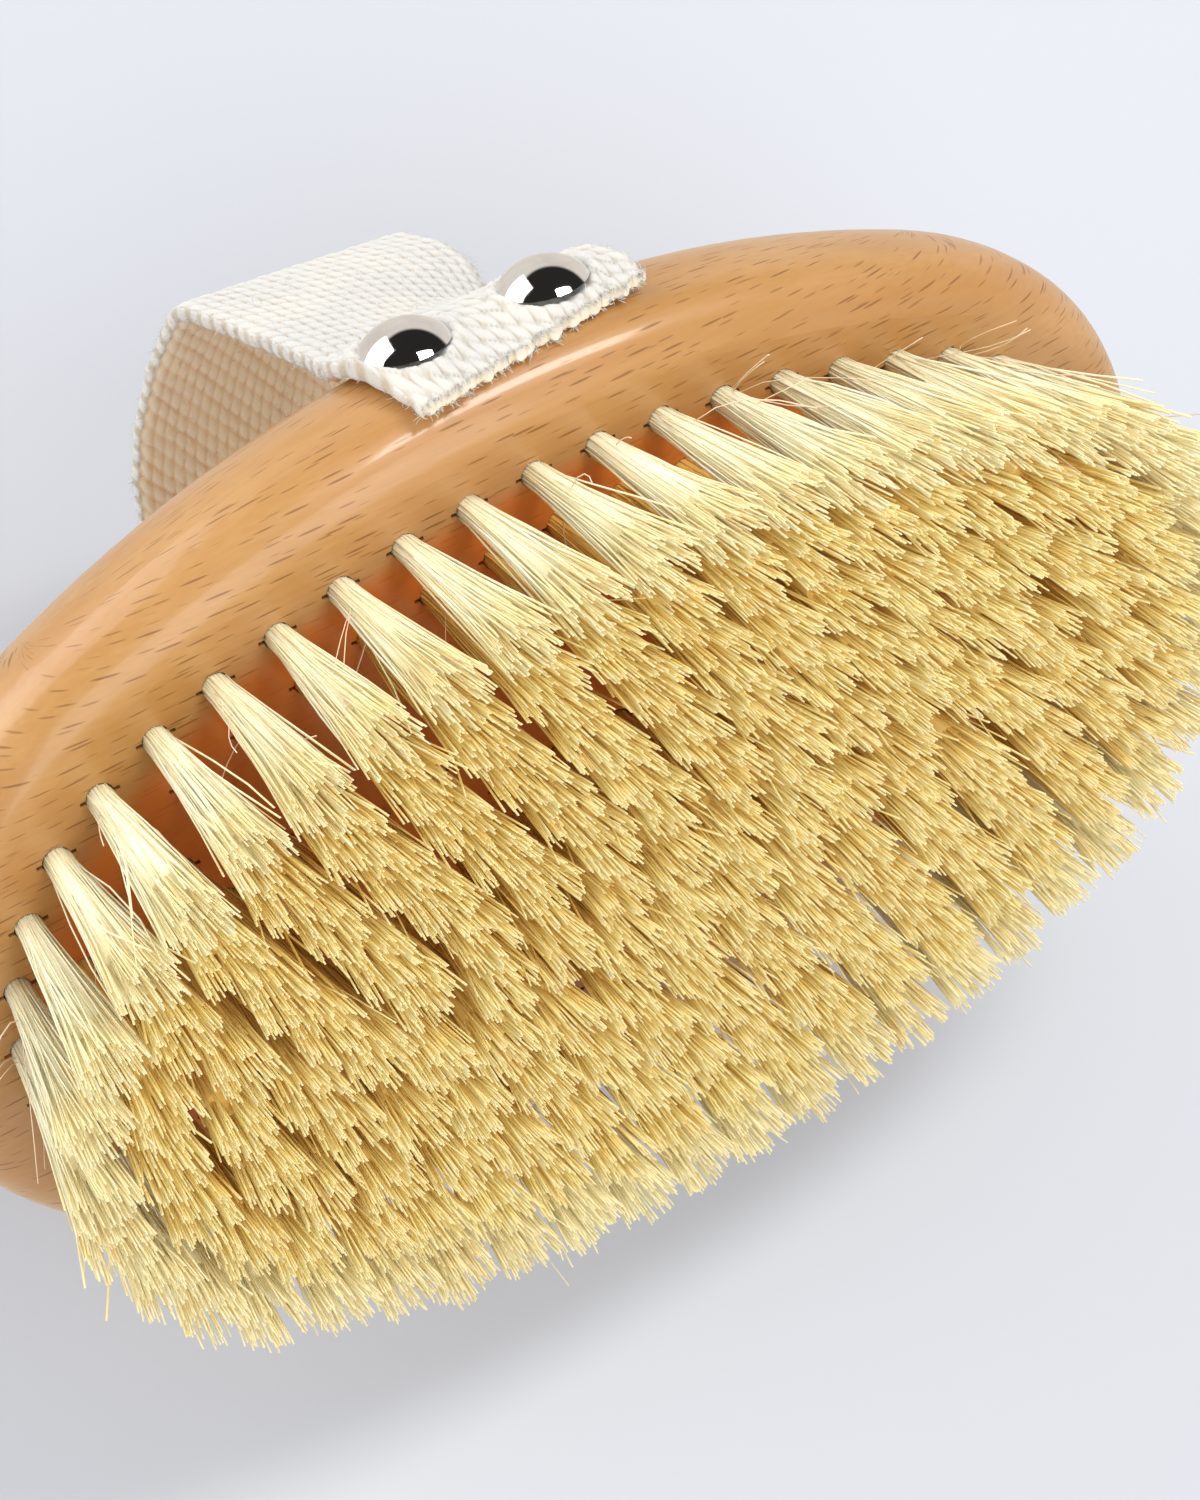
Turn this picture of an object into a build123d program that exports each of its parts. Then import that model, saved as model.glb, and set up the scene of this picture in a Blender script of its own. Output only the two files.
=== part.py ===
from build123d import *
from math import atan2, cos, degrees, radians, sin, sqrt
import os

# Body dry brush: an oval beech block with rings of plant-fibre tufts in its underside and a cotton
# webbing hand strap over its back, held at each side by two dome-headed tacks.
# Frame, in millimetres: the origin is on the plane of the bristle tips, under the middle of the
# block. +X runs along the block, +Y across it, +Z up through its back to the strap.

# Block
block_length = 138.0
block_width = 88.0
block_thickness = 21.0
end_radius = 37.4  # of the two end arcs of the oval
crown_radius = 500.0  # of the slightly domed back
back_edge_radius = 13.0
under_edge_radius = 5.0

# Tufts and the flat wire anchors that hold them
bristle_length = 21.0  # from the underside to the cut tips
outer_inset = 9.5  # from the edge of the block to the outer ring of holes
ring_spacing = 6.25
ring_count = 6
tuft_pitch = 6.6
outer_phase = 0.23  # where the outer ring's first hole lies, as a share of the pitch
outer_spread = 2.2  # how far outwards the outer ring's tips stand from their holes
hole_radius = 1.3
hole_depth = 9.0
tuft_root_radius = 1.25
tuft_tip_radius = 2.75
anchor_length = 3.6
anchor_thickness = 0.3
anchor_height = 1.6
anchor_depth = 7.2  # from the mouth of the hole to the middle of the anchor
fit_gap = 0.05
mouth_clearance = 0.5  # how far the hole tools start outside the underside
sharp_end_radius = 0.5  # end arcs of a ring that has shrunk to a pointed oval
closed_half_width = 2.4  # where such a ring is narrower than this, its two sides are one row

# Strap
strap_width = 25.0
strap_thickness = 2.0
strap_x = 2.0  # the strap is nailed a little off the middle of the block
strap_gap = 0.05
strap_end_height = 5.3  # of the cut end's middle, above the underside
strap_end_skew = 10.0  # degrees, of the cut end
wrap_angle = 44.0  # how far round the back edge the strap lies on the wood
leg_angle = 74.0  # slope of the strap's upright legs
leg_length = 27.4
leave_radius = 9.0
fold_radius = 4.0
top_slope = 38.0  # slope of the strap just inside each fold
strap_sway = 7.0  # how far the crown of the loop leans to -X

# Tacks
tack_x = -0.3
tack_spacing = 14.1
tack_angle = 9.0  # how far round the back edge the tacks stand
dome_radius = 4.2
dome_height = 2.05
dome_wall = 0.4
nail_head_radius = 2.8
nail_head_thickness = 0.6
nail_radius = 0.7
nail_length = 8.0
nail_point = 2.0

underside = bristle_length
outline = (block_length / 2, block_width / 2, end_radius)


def oval_arcs(half_length, half_width, end_radius):
    """The tangent arcs of an oval from its -X end through -Y: centre x, y, radius, start and sweep."""
    rise = half_width - end_radius
    end_x = half_length - end_radius
    side_radius = (end_x**2 + half_width**2 - end_radius**2) / (2 * rise)
    side_y = side_radius - half_width
    turn = degrees(atan2(side_y, end_x))
    side_sweep = 180 - 2 * turn
    return [
        (-end_x, 0, end_radius, 180, turn),
        (0, side_y, side_radius, 180 + turn, side_sweep),
        (end_x, 0, end_radius, -turn, 2 * turn),
        (0, -side_y, side_radius, turn, side_sweep),
        (-end_x, 0, end_radius, 180 - turn, turn),
    ]


def arc_length(arc):
    return arc[2] * radians(arc[4])


def place_on(arcs, distance):
    """The point at a distance along the arcs and the outward direction there: x, y, dx, dy."""
    for arc in arcs:
        if distance <= arc_length(arc):
            break
        distance -= arc_length(arc)
    x, y, radius, start, _ = arc
    angle = radians(start) + distance / radius
    return x + radius * cos(angle), y + radius * sin(angle), cos(angle), sin(angle)


def ring_planes(ring):
    """A plane at the mouth of each hole of a ring, with Z out along the tuft and X along the block."""
    inset = outer_inset + ring * ring_spacing
    half_length = block_length / 2 - inset
    pointed = inset + sharp_end_radius > end_radius
    if pointed:
        _, side_y, side_radius, _, _ = oval_arcs(*outline)[1]
        half_length = sqrt((side_radius - inset) ** 2 - side_y**2)
    ring_end = max(end_radius - inset, sharp_end_radius)
    arcs = oval_arcs(half_length, block_width / 2 - inset, ring_end)
    length = sum(arc_length(arc) for arc in arcs)
    count = round(length / tuft_pitch)
    phase = outer_phase if ring == 0 else 0
    spread = outer_spread * (1 - ring / ring_count)
    planes = []
    for hole in range(count):
        x, y, dx, dy = place_on(arcs, (hole + phase) * length / count)
        if pointed and abs(y) < closed_half_width:
            if y > fit_gap:  # the hole at -Y already stands for both
                continue
            y, dy = 0, 0
        along = (spread * dx, spread * dy, -bristle_length)
        planes.append(Plane(origin=(x, y, underside), x_dir=(1, 0, 0), z_dir=along))
    return planes


rings = [ring_planes(ring) for ring in range(ring_count)]
all_holes = [plane for ring in rings for plane in ring]

# Cross-section of the back edge at the strap, in the YZ plane through strap_x
half_width = block_width / 2
back_top = underside + block_thickness
edge_centre_y = -(half_width - back_edge_radius)
crown_centre_z = back_top - crown_radius
edge_centre_z = crown_centre_z + sqrt((crown_radius - back_edge_radius) ** 2 - edge_centre_y**2)


def tack_plane(x, side):
    """The plane on the strap's outer face at a tack, Z out of the block; side is -1 at -Y, 1 at +Y."""
    reach = back_edge_radius + strap_gap + strap_thickness
    out_y = side * cos(radians(tack_angle))
    out_z = sin(radians(tack_angle))
    centre_y = -side * edge_centre_y
    return Plane(
        origin=(x, centre_y + reach * out_y, edge_centre_z + reach * out_z),
        x_dir=(1, 0, 0),
        z_dir=(0, out_y, out_z),
    )


tack_places = {
    "front_left": tack_plane(tack_x - tack_spacing / 2, -1),
    "front_right": tack_plane(tack_x + tack_spacing / 2, -1),
    "rear_left": tack_plane(tack_x - tack_spacing / 2, 1),
    "rear_right": tack_plane(tack_x + tack_spacing / 2, 1),
}

os.makedirs("parts", exist_ok=True)


def save(builder, name):
    builder.part.label = name
    export_step(builder.part, f"parts/{name}.step")


# Wooden body: the oval block, with rounded edges, blind tuft holes and pilot holes for the nails
with BuildPart() as wooden_body:
    with BuildSketch(Plane.XY.offset(underside)):
        with BuildLine():
            for x, y, radius, start, sweep in oval_arcs(*outline):
                CenterArc((x, y), radius, start, sweep)
        make_face()
    extrude(amount=block_thickness)
    with Locations((0, 0, crown_centre_z)):
        Sphere(crown_radius, mode=Mode.INTERSECT)
    fillet(wooden_body.faces().sort_by(Axis.Z)[-1].edges(), back_edge_radius)
    fillet(wooden_body.faces().sort_by(Axis.Z)[0].edges(), under_edge_radius)
    into_wood = (Align.CENTER, Align.CENTER, Align.MAX)
    slit_depth = anchor_depth + anchor_height / 2 + fit_gap
    with Locations(*[plane.offset(mouth_clearance) for plane in all_holes]):
        Cylinder(
            hole_radius, hole_depth + mouth_clearance, align=into_wood, mode=Mode.SUBTRACT
        )
        Box(
            anchor_length + 2 * fit_gap,
            anchor_thickness + 2 * fit_gap,
            slit_depth + mouth_clearance,
            align=into_wood,
            mode=Mode.SUBTRACT,
        )
    with Locations(*tack_places.values()):
        Cylinder(
            nail_radius + fit_gap, nail_length + fit_gap, align=into_wood, mode=Mode.SUBTRACT
        )
save(wooden_body, "wooden_body")

# One tuft, about its hole's axis: folded over its anchor in the hole, and flared to its cut tips
with BuildPart() as tuft:
    overshoot = 1.0
    flare_end = (tuft_tip_radius, bristle_length + overshoot)
    with BuildSketch(Plane.XZ):
        with BuildLine():
            Polyline(
                (0, -hole_depth + fit_gap),
                (tuft_root_radius, -hole_depth + fit_gap),
                (tuft_root_radius, 0),
            )
            TangentArc((tuft_root_radius, 0), flare_end, tangent=(0, 1))
            Polyline(flare_end, (0, flare_end[1]), (0, -hole_depth + fit_gap))
        make_face()
    revolve(axis=Axis.Z)
    with Locations((0, 0, -anchor_depth)):
        Box(
            2 * hole_radius,
            anchor_thickness + 2 * fit_gap,
            anchor_height + 2 * fit_gap,
            mode=Mode.SUBTRACT,
        )

for number, planes in enumerate(rings, 1):
    with BuildPart() as bristle_ring:
        with Locations(*planes):
            add(tuft.part)
        split(bisect_by=Plane.XY, keep=Keep.TOP)
    save(bristle_ring, f"bristle_tufts_ring_{number}")

    with BuildPart() as anchor_ring:
        with Locations(*[plane.offset(-anchor_depth) for plane in planes]):
            Box(anchor_length, anchor_thickness, anchor_height)
    save(anchor_ring, f"tuft_anchors_ring_{number}")

# Hand strap: one length of webbing along a profile in the YZ plane, leaning to -X at its crown
with BuildPart() as hand_strap:
    inner_reach = back_edge_radius + strap_gap
    start = (edge_centre_y - inner_reach, underside)
    turn_out = leg_angle - (90 - wrap_angle)
    with BuildSketch(Plane.YZ):
        with BuildLine():
            wall = Line(start, (start[0], edge_centre_z))
            wrap = JernArc(wall @ 1, (0, 1), inner_reach, -wrap_angle)
            leave = JernArc(wrap @ 1, wrap % 1, leave_radius, turn_out)
            leg = Line(leave @ 1, leave @ 1 + (leave % 1) * leg_length)
            fold = JernArc(leg @ 1, leg % 1, fold_radius, top_slope - leg_angle)
            crown_arc_radius = -(fold @ 1).X / sin(radians(top_slope))
            JernArc(fold @ 1, fold % 1, crown_arc_radius, -top_slope)
            mirror(about=Plane.YZ)
            offset(amount=strap_thickness, side=Side.LEFT)
        make_face()
    extrude(amount=strap_width, both=True)
    # plan of the swaying band, which trims the straight band above
    with BuildSketch(Plane.XY.offset(underside)):
        with BuildLine():
            ends = half_width + 2 * strap_thickness
            for edge_x in (strap_x - strap_width / 2, strap_x + strap_width / 2):
                Spline(
                    (edge_x, -ends),
                    (edge_x, -half_width + back_edge_radius),
                    (edge_x - strap_sway, 0),
                    (edge_x, half_width - back_edge_radius),
                    (edge_x, ends),
                    tangents=((0, 1), (0, 1)),
                )
            for end_y in (-ends, ends):
                Line((strap_x - strap_width / 2, end_y), (strap_x + strap_width / 2, end_y))
        make_face()
    extrude(amount=2 * block_width, mode=Mode.INTERSECT)
    # cut ends, a little out of square
    for side in (-1, 1):
        end_cut = Plane(
            origin=(strap_x, side * half_width, underside + strap_end_height),
            x_dir=(cos(radians(strap_end_skew)), 0, sin(radians(strap_end_skew))),
            z_dir=(-sin(radians(strap_end_skew)), 0, cos(radians(strap_end_skew))),
        )
        with Locations(end_cut):
            Box(
                2 * strap_width,
                4 * strap_thickness + 2 * strap_gap,
                strap_width,
                align=(Align.CENTER, Align.CENTER, Align.MAX),
                mode=Mode.SUBTRACT,
            )
    # the webbing is pierced by each nail and pressed down under each dome
    with Locations(*tack_places.values()):
        Cylinder(nail_radius + fit_gap, 4 * strap_thickness, mode=Mode.SUBTRACT)
        Cylinder(
            dome_radius + fit_gap,
            2 * dome_height,
            align=(Align.CENTER, Align.CENTER, Align.MIN),
            mode=Mode.SUBTRACT,
        )
save(hand_strap, "hand_strap")

# One tack, about its nail's axis with Z out of the block: a domed cap crimped over a nail's disc head
dome_sphere = (dome_radius**2 + dome_height**2) / (2 * dome_height)
with BuildPart() as dome:
    with BuildSketch(Plane.XZ):
        with BuildLine():
            inner_height = dome_height - dome_wall
            centre_z = dome_height - dome_sphere
            inner_sphere = dome_sphere - dome_wall
            inner_rim = sqrt(inner_sphere**2 - centre_z**2)
            Polyline((inner_rim, 0), (dome_radius, 0))
            RadiusArc((dome_radius, 0), (0, dome_height), -dome_sphere)
            Line((0, dome_height), (0, inner_height))
            RadiusArc((0, inner_height), (inner_rim, 0), inner_sphere)
        make_face()
    revolve(axis=Axis.Z)

with BuildPart() as nail:
    with BuildSketch(Plane.XZ):
        with BuildLine():
            Polyline(
                (0, -nail_length),
                (nail_radius, -nail_length + nail_point),
                (nail_radius, fit_gap),
                (nail_head_radius, fit_gap),
                (nail_head_radius, nail_head_thickness),
                (0, nail_head_thickness),
                close=True,
            )
        make_face()
    revolve(axis=Axis.Z)

for place, plane in tack_places.items():
    with BuildPart() as tack_dome:
        with Locations(plane):
            add(dome.part)
    save(tack_dome, f"tack_dome_{place}")

    with BuildPart() as tack_nail:
        with Locations(plane):
            add(nail.part)
    save(tack_nail, f"tack_nail_{place}")
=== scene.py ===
from math import atan2, cos, pi, radians, sin, sqrt, tan

import bmesh
import bpy
import numpy as np
from mathutils import Matrix, Vector

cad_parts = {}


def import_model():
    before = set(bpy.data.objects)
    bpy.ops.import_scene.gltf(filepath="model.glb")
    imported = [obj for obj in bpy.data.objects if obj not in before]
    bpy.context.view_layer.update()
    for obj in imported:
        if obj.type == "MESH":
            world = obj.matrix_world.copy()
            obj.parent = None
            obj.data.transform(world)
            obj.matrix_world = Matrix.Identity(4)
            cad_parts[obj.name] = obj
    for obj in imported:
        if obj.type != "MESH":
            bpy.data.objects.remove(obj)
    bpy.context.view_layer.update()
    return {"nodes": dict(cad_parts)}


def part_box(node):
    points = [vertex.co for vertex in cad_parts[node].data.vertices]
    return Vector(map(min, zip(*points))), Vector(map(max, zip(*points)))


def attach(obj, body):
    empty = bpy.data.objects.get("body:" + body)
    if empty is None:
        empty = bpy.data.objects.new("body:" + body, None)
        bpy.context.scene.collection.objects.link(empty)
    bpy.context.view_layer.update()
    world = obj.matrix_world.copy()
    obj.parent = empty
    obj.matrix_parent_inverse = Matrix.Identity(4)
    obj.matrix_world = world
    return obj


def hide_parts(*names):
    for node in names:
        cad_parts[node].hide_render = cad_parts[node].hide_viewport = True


# A body dry brush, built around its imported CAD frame. Everything is in metres, in the frame's axes:
# +X along the block, +Y across it, +Z up from the bristle tips through the block to the strap.

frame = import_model()
nodes = frame["nodes"]

MM = 0.001
wood_low, wood_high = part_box("wooden_body")
underside = wood_low.z
half_width = wood_high.y

# Block, as in the CAD
OUTER_INSET = 9.5 * MM  # from the edge of the block to the outer ring of holes
BACK_EDGE_RADIUS = 13.0 * MM
CROWN_RADIUS = 500.0 * MM

# Fibres of a tuft
FIBRES = 134
FIBRE_SIDES = 3
FIBRE_RADIUS = 0.118 * MM
FIBRE_IN_HOLE = 3.0 * MM
FIBRE_SHARES = np.array([0.0, 0.2, 0.45, 0.72, 1.0])  # of its length, where a fibre's path is sampled
FIBRE_TAPER = np.array([1.0, 1.0, 1.0, 1.0, 0.92])
FIBRE_BOW = 0.22 * MM
ROOT_RADIUS = 1.17 * MM
TIP_RADIUS = 3.4 * MM
FLARE = 1.45  # power of the way along a tuft that its spread follows
TUFT_LEAN = 0.22 * MM  # at the tips
CLUMPS = 8
CLUMP_SPREAD = 0.92  # of the tip radius
CLUMP_CUT = 0.38 * MM  # how unevenly the clumps are cut
FIBRE_CUT = 0.25 * MM  # and the fibres in them
LONGEST_CUT = 5 * MM
STRAY_SHARE = 0.035  # of the fibres stand away from their tuft
GOLDEN_ANGLE = 2.39996  # between neighbours in a spiral that fills a disc evenly
LOOSE_FIBRES = {1: 50, 2: 20}  # by ring
LOOSE_SAMPLES = len(FIBRE_SHARES)  # so that they join the other fibres in one array

# The packed middle of a tuft
CORE_LENGTH = 0.74  # of the tuft's
CORE_SHARE = (0.97, 0.72)  # of the tuft's radius, at its root and towards its tip
CORE_SIDES = 12
CORE_SAMPLES = 5

# Strap, as in the CAD
STRAP_WIDTH = 25.0 * MM
STRAP_THICKNESS = 2.0 * MM
STRAP_X = 2.0 * MM
STRAP_GAP = 0.05 * MM
STRAP_END_HEIGHT = 5.3 * MM
STRAP_END_SKEW = radians(10)
WRAP_ANGLE = radians(44)
LEG_ANGLE = radians(74)
LEG_LENGTH = 27.4 * MM
LEAVE_RADIUS = 9.0 * MM
FOLD_RADIUS = 4.0 * MM
TOP_SLOPE = radians(38)
STRAP_SWAY = 7.0 * MM

# How the webbing lies
ON_WOOD = 16.0 * MM  # how much of each end lies on the block
FOLD_ASKEW = 2.4 * MM  # how much further back the +X edge folds
ASKEW_BY = 0.45  # of the way from the wood to the crown, where that is reached
# The +X edge is drawn in above its tack. Each pair is for along the block and over its back.
PINCH_AT = (23.0 * MM, 26.0 * MM)  # from each cut end
PINCH_REACH = (9.0 * MM, 12.0 * MM)  # over which it fades to each side
PINCH_IN = (-4.4 * MM, 3.6 * MM)
BULGE_AT = 10.0 * MM  # from each cut end to where the -X edge bulges out beside its tack
BULGE_REACH = 6.0 * MM
BULGE_OUT = 1.9 * MM
REAR_PULL = 0.45  # how much of the pinch and the bulge the rear end has
END_THINNING = 0.3  # of the webbing where it is pressed and cut
END_PRESSED = 5 * MM  # length of that thinner stretch
END_SKEWED = 6 * MM  # length of the stretch that follows the skew of the cut
END_RAGGED = 0.3 * MM
EDGE_WAVER = 0.12 * MM
FACE_WAVER = 0.05 * MM
DOME_PUFF = 0.6 * MM  # how far the cloth rises round each dome
DOME_PUFF_AT = 0.55 * MM  # from the edge of the dome
DOME_PUFF_REACH = 0.7 * MM
DOME_PRESS = 0.3 * MM  # how far it is pressed down under the dome

# Its weave and its mesh
RIB_PITCH = 1.25 * MM
STITCH_PITCH = 2.3 * MM
RIB_HEIGHT = 0.42 * MM
RIB_ROOM = 0.30 * MM  # that the faces leave for the ribs
STRAP_ROW = 0.37 * MM
STRAP_COLUMNS = 101
EDGE_STEPS = 6
EDGE_ROUND = 0.35 * MM

# Cotton hairs: how many, and their lengths and radii in millimetres
EDGE_HAIRS = 2600
FACE_HAIRS = 2600
END_HAIRS = 420  # at each cut end
HAIR_SIDES = 3
HAIR_LENGTH = (0.2, 0.6)
EDGE_HAIR_RADIUS = (0.016, 0.03)
FACE_HAIR_RADIUS = (0.015, 0.028)
END_HAIR_LENGTH = (0.15, 0.6)
END_HAIR_RADIUS = (0.03, 0.07)

# Two layers of flecks in the wood. Each has the size of the cell that holds a fleck and half the size
# of the fleck, in millimetres along the block, round its section and out from its middle, how dark the
# fleck is, and a shift from the other layer.
FLECK_LAYERS = (
    ((5.0, 1.3, 3.0), (1.6, 0.12, 1.5), 0.66, (0.0, 0.0, 0.0)),
    ((4.0, 1.0, 2.5), (1.1, 0.10, 1.2), 0.48, (7.3, 1.7, 4.1)),
)

DOME_NODES = [n for n in sorted(nodes) if n.startswith("tack_dome_")]


# ---------------------------------------------------------------- meshes


def mesh_piece(name, points, quads, flat_faces=(), attributes=None):
    """A mesh object from arrays: points (n, 3), quads (m, 4), and flat-shaded faces of one size each."""
    faces = [np.asarray(quads, np.int32)] + [np.asarray(f, np.int32) for f in flat_faces]
    faces = [f for f in faces if len(f)]
    corners = np.concatenate([f.ravel() for f in faces])
    sizes = np.concatenate([np.full(len(f), f.shape[1], np.int32) for f in faces])
    starts = np.concatenate([[0], np.cumsum(sizes)[:-1]]).astype(np.int32)
    smooth = np.ones(len(sizes), bool)
    smooth[len(quads):] = False
    mesh = bpy.data.meshes.new(name)
    mesh.vertices.add(len(points))
    mesh.vertices.foreach_set("co", np.asarray(points, np.float32).ravel())
    mesh.loops.add(len(corners))
    mesh.loops.foreach_set("vertex_index", corners)
    mesh.polygons.add(len(sizes))
    mesh.polygons.foreach_set("loop_start", starts)
    mesh.update(calc_edges=True)
    mesh.polygons.foreach_set("use_smooth", smooth)
    for key, values in (attributes or {}).items():
        layer = mesh.attributes.new(key, "FLOAT_VECTOR", "POINT")
        layer.data.foreach_set("vector", np.asarray(values, np.float32).ravel())
    mesh.validate()
    piece = bpy.data.objects.new(name, mesh)
    bpy.context.scene.collection.objects.link(piece)
    return piece


def tubes(name, paths, radii, sides, thread):
    """One mesh of thin closed tubes. paths is (tubes, samples, 3), and radii and thread match it."""
    count, samples, _ = paths.shape
    along = np.gradient(paths, axis=1)
    along /= np.linalg.norm(along, axis=2, keepdims=True)
    helper = np.where(np.abs(along[:, :1, 2:3]) < 0.8, [[[0.0, 0.0, 1.0]]], [[[1.0, 0.0, 0.0]]])
    first = np.cross(along, np.broadcast_to(helper, along.shape))
    first /= np.linalg.norm(first, axis=2, keepdims=True)
    second = np.cross(along, first)
    turns = np.arange(sides) * 2 * pi / sides
    ring = first[:, :, None] * np.cos(turns)[:, None] + second[:, :, None] * np.sin(turns)[:, None]
    points = paths[:, :, None] + ring * radii[:, :, None, None]
    index = np.arange(count * samples * sides).reshape(count, samples, sides)
    nearer, further = index[:, :-1], index[:, 1:]
    quads = np.stack([nearer, np.roll(nearer, -1, 2), np.roll(further, -1, 2), further], axis=-1)
    caps = np.concatenate([index[:, 0, ::-1], index[:, -1]])
    values = np.repeat(thread[:, :, None], sides, axis=2).reshape(-1, 3)
    return mesh_piece(name, points.reshape(-1, 3), quads.reshape(-1, 4), [caps], {"thread": values})


def join(piece, other):
    """Adds another mesh to a piece and deletes the other object."""
    shape = bmesh.new()
    shape.from_mesh(piece.data)
    shape.from_mesh(other.data)
    shape.to_mesh(piece.data)
    shape.free()
    spare = other.data
    bpy.data.objects.remove(other)
    bpy.data.meshes.remove(spare)


# ---------------------------------------------------------------- materials


class Graph:
    """The node graph of one material, built by short calls that return output sockets."""

    def __init__(self, name):
        self.material = bpy.data.materials.new(name)
        self.material.use_nodes = True
        self.tree = self.material.node_tree
        self.shader = self.tree.nodes["Principled BSDF"]

    def put(self, socket, value):
        if isinstance(value, bpy.types.NodeSocket):
            self.tree.links.new(value, socket)
        else:
            socket.default_value = value

    def node(self, kind, inputs=None, out=0, **settings):
        made = self.tree.nodes.new("ShaderNode" + kind)
        for key, value in settings.items():
            setattr(made, key, value)
        for key, value in (inputs or {}).items():
            self.put(made.inputs[key], value)
        return made.outputs[out]

    def maths(self, operation, *values):
        return self.node("Math", dict(enumerate(values)), operation=operation)

    def between(self, value, low, high, to_low=0.0, to_high=1.0):
        """value moved smoothly from the range low..high to to_low..to_high."""
        inputs = {0: value, 1: low, 2: high, 3: to_low, 4: to_high}
        return self.node("MapRange", inputs, interpolation_type="SMOOTHSTEP")

    def mix(self, factor, first, second):
        """first where the factor is 0, second where it is 1."""
        made = self.tree.nodes.new("ShaderNodeMix")
        made.data_type = "RGBA"
        for key, value in ((0, factor), (6, first), (7, second)):
            self.put(made.inputs[key], value)
        return made.outputs[2]

    def split(self, vector):
        made = self.tree.nodes.new("ShaderNodeSeparateXYZ")
        self.put(made.inputs[0], vector)
        return made.outputs

    def here(self):
        """Object coordinates."""
        return self.node("TexCoord", out=3)

    def thread(self):
        """The three values that a mesh carries in its thread attribute."""
        return self.split(self.node("Attribute", out=1, attribute_name="thread"))

    def scaled(self, vector, sizes):
        """A vector divided by a size on each axis."""
        return self.node("VectorMath", {0: vector, 1: [1 / s for s in sizes]}, operation="MULTIPLY")

    def moved(self, vector, shift):
        return self.node("VectorMath", {0: vector, 1: shift}, operation="ADD")

    def noise(self, sizes, detail, rough=0.5, shift=(0, 0, 0)):
        """Noise with features of the given sizes in metres on each axis."""
        at = self.moved(self.scaled(self.here(), sizes), shift)
        inputs = {"Vector": at, "Scale": 1.0, "Detail": detail, "Roughness": rough}
        return self.node("TexNoise", inputs)

    def bump(self, height, distance, strength):
        return self.node("Bump", {"Height": height, "Distance": distance, "Strength": strength})

    def finish(self, **inputs):
        for key, value in inputs.items():
            self.put(self.shader.inputs[key.replace("_", " ")], value)
        return self.material


def colour(red, green, blue):
    """A colour given as it is shown, 0 to 255, as the linear values that shaders take."""
    return (*[(c / 255) ** 2.2 for c in (red, green, blue)], 1.0)


def shell_place(g, x, y, z):
    """The place in a shell round the block: along it, round its section and out from its middle."""
    middle_z = (wood_low.z + wood_high.z) / 2
    core = half_width - (wood_high.z - wood_low.z) / 2
    inside = g.maths("MINIMUM", g.maths("ABSOLUTE", y), core)
    beside = g.maths("SUBTRACT", g.maths("ABSOLUTE", y), inside)
    above = g.maths("SUBTRACT", z, middle_z)
    turn = g.maths("ARCTAN2", above, beside)
    round_it = g.maths("MULTIPLY_ADD", turn, half_width - core, inside)
    squared = g.maths("ADD", g.maths("POWER", beside, 2.0), g.maths("POWER", above, 2.0))
    return g.node("CombineXYZ", {0: x, 1: round_it, 2: g.maths("SQRT", squared)})


def fleck_layer(g, shell, cell_size, half_size, depth, shift):
    """How dark one layer of flecks is: one long fleck about a random point in each cell."""
    at = g.moved(g.scaled(shell, [size * MM for size in cell_size]), shift)
    cell = {"Vector": at, "Scale": 1.0, "Randomness": 0.85}
    middle = g.node("TexVoronoi", cell, out="Position")
    off = g.node("VectorMath", {0: at, 1: middle}, operation="SUBTRACT")
    off = g.scaled(off, [half / size for half, size in zip(half_size, cell_size)])
    distance = g.node("VectorMath", {0: off}, out=1, operation="LENGTH")
    return g.between(distance, 1.0, 0.55, 0.0, depth)


def among_tufts(g, x, y, z):
    """1 on the underside inside the outer ring of holes, and 0 elsewhere."""
    below = g.between(z, underside + 0.9 * MM, underside + 0.1 * MM)
    along = g.maths("POWER", g.maths("DIVIDE", x, wood_high.x - OUTER_INSET), 2.0)
    aside = g.maths("POWER", g.maths("DIVIDE", y, half_width - OUTER_INSET), 2.0)
    inside = g.between(g.maths("ADD", along, aside), 1.02, 0.86)
    return g.maths("MULTIPLY", below, inside)


def beech():
    """Varnished beech: soft grain and short dark flecks along X, and a painted deeper orange shade between
    the tufts, standing in for light bounced among them.
    """
    g = Graph("beech_varnished")
    broad = g.noise((60 * MM, 7 * MM, 5 * MM), 3.0)
    streak = g.noise((14 * MM, 0.45 * MM, 0.45 * MM), 2.0, shift=(3, 1, 2))
    cloud = g.noise((30 * MM, 24 * MM, 20 * MM), 2.0, shift=(5, 5, 5))
    wood = g.mix(g.between(broad, 0.35, 0.65), colour(186, 140, 84), colour(177, 127, 70))
    wood = g.mix(g.between(cloud, 0.35, 0.7, 0.0, 0.5), wood, colour(194, 145, 101))
    wood = g.mix(g.between(streak, 0.3, 0.7, 0.0, 0.26), wood, colour(170, 117, 62))
    x, y, z = g.split(g.here())
    shell = shell_place(g, x, y, z)
    flecks = g.maths("MAXIMUM", *[fleck_layer(g, shell, *layer) for layer in FLECK_LAYERS])
    wood = g.mix(flecks, wood, colour(112, 68, 26))
    # painted shade: the underside among the tufts is painted a deeper orange, for the warm bounced light
    # and shade that fall there
    wood = g.mix(g.maths("MULTIPLY", among_tufts(g, x, y, z), 0.8), wood, colour(214, 112, 40))
    height = g.maths("SUBTRACT", g.maths("MULTIPLY", streak, 0.25), flecks)
    return g.finish(
        Base_Color=wood,
        Roughness=g.between(flecks, 0.0, 1.0, 0.36, 0.55),
        Coat_Weight=0.45,
        Coat_Roughness=0.1,
        Normal=g.bump(height, 0.03 * MM, 0.5),
    )


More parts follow.
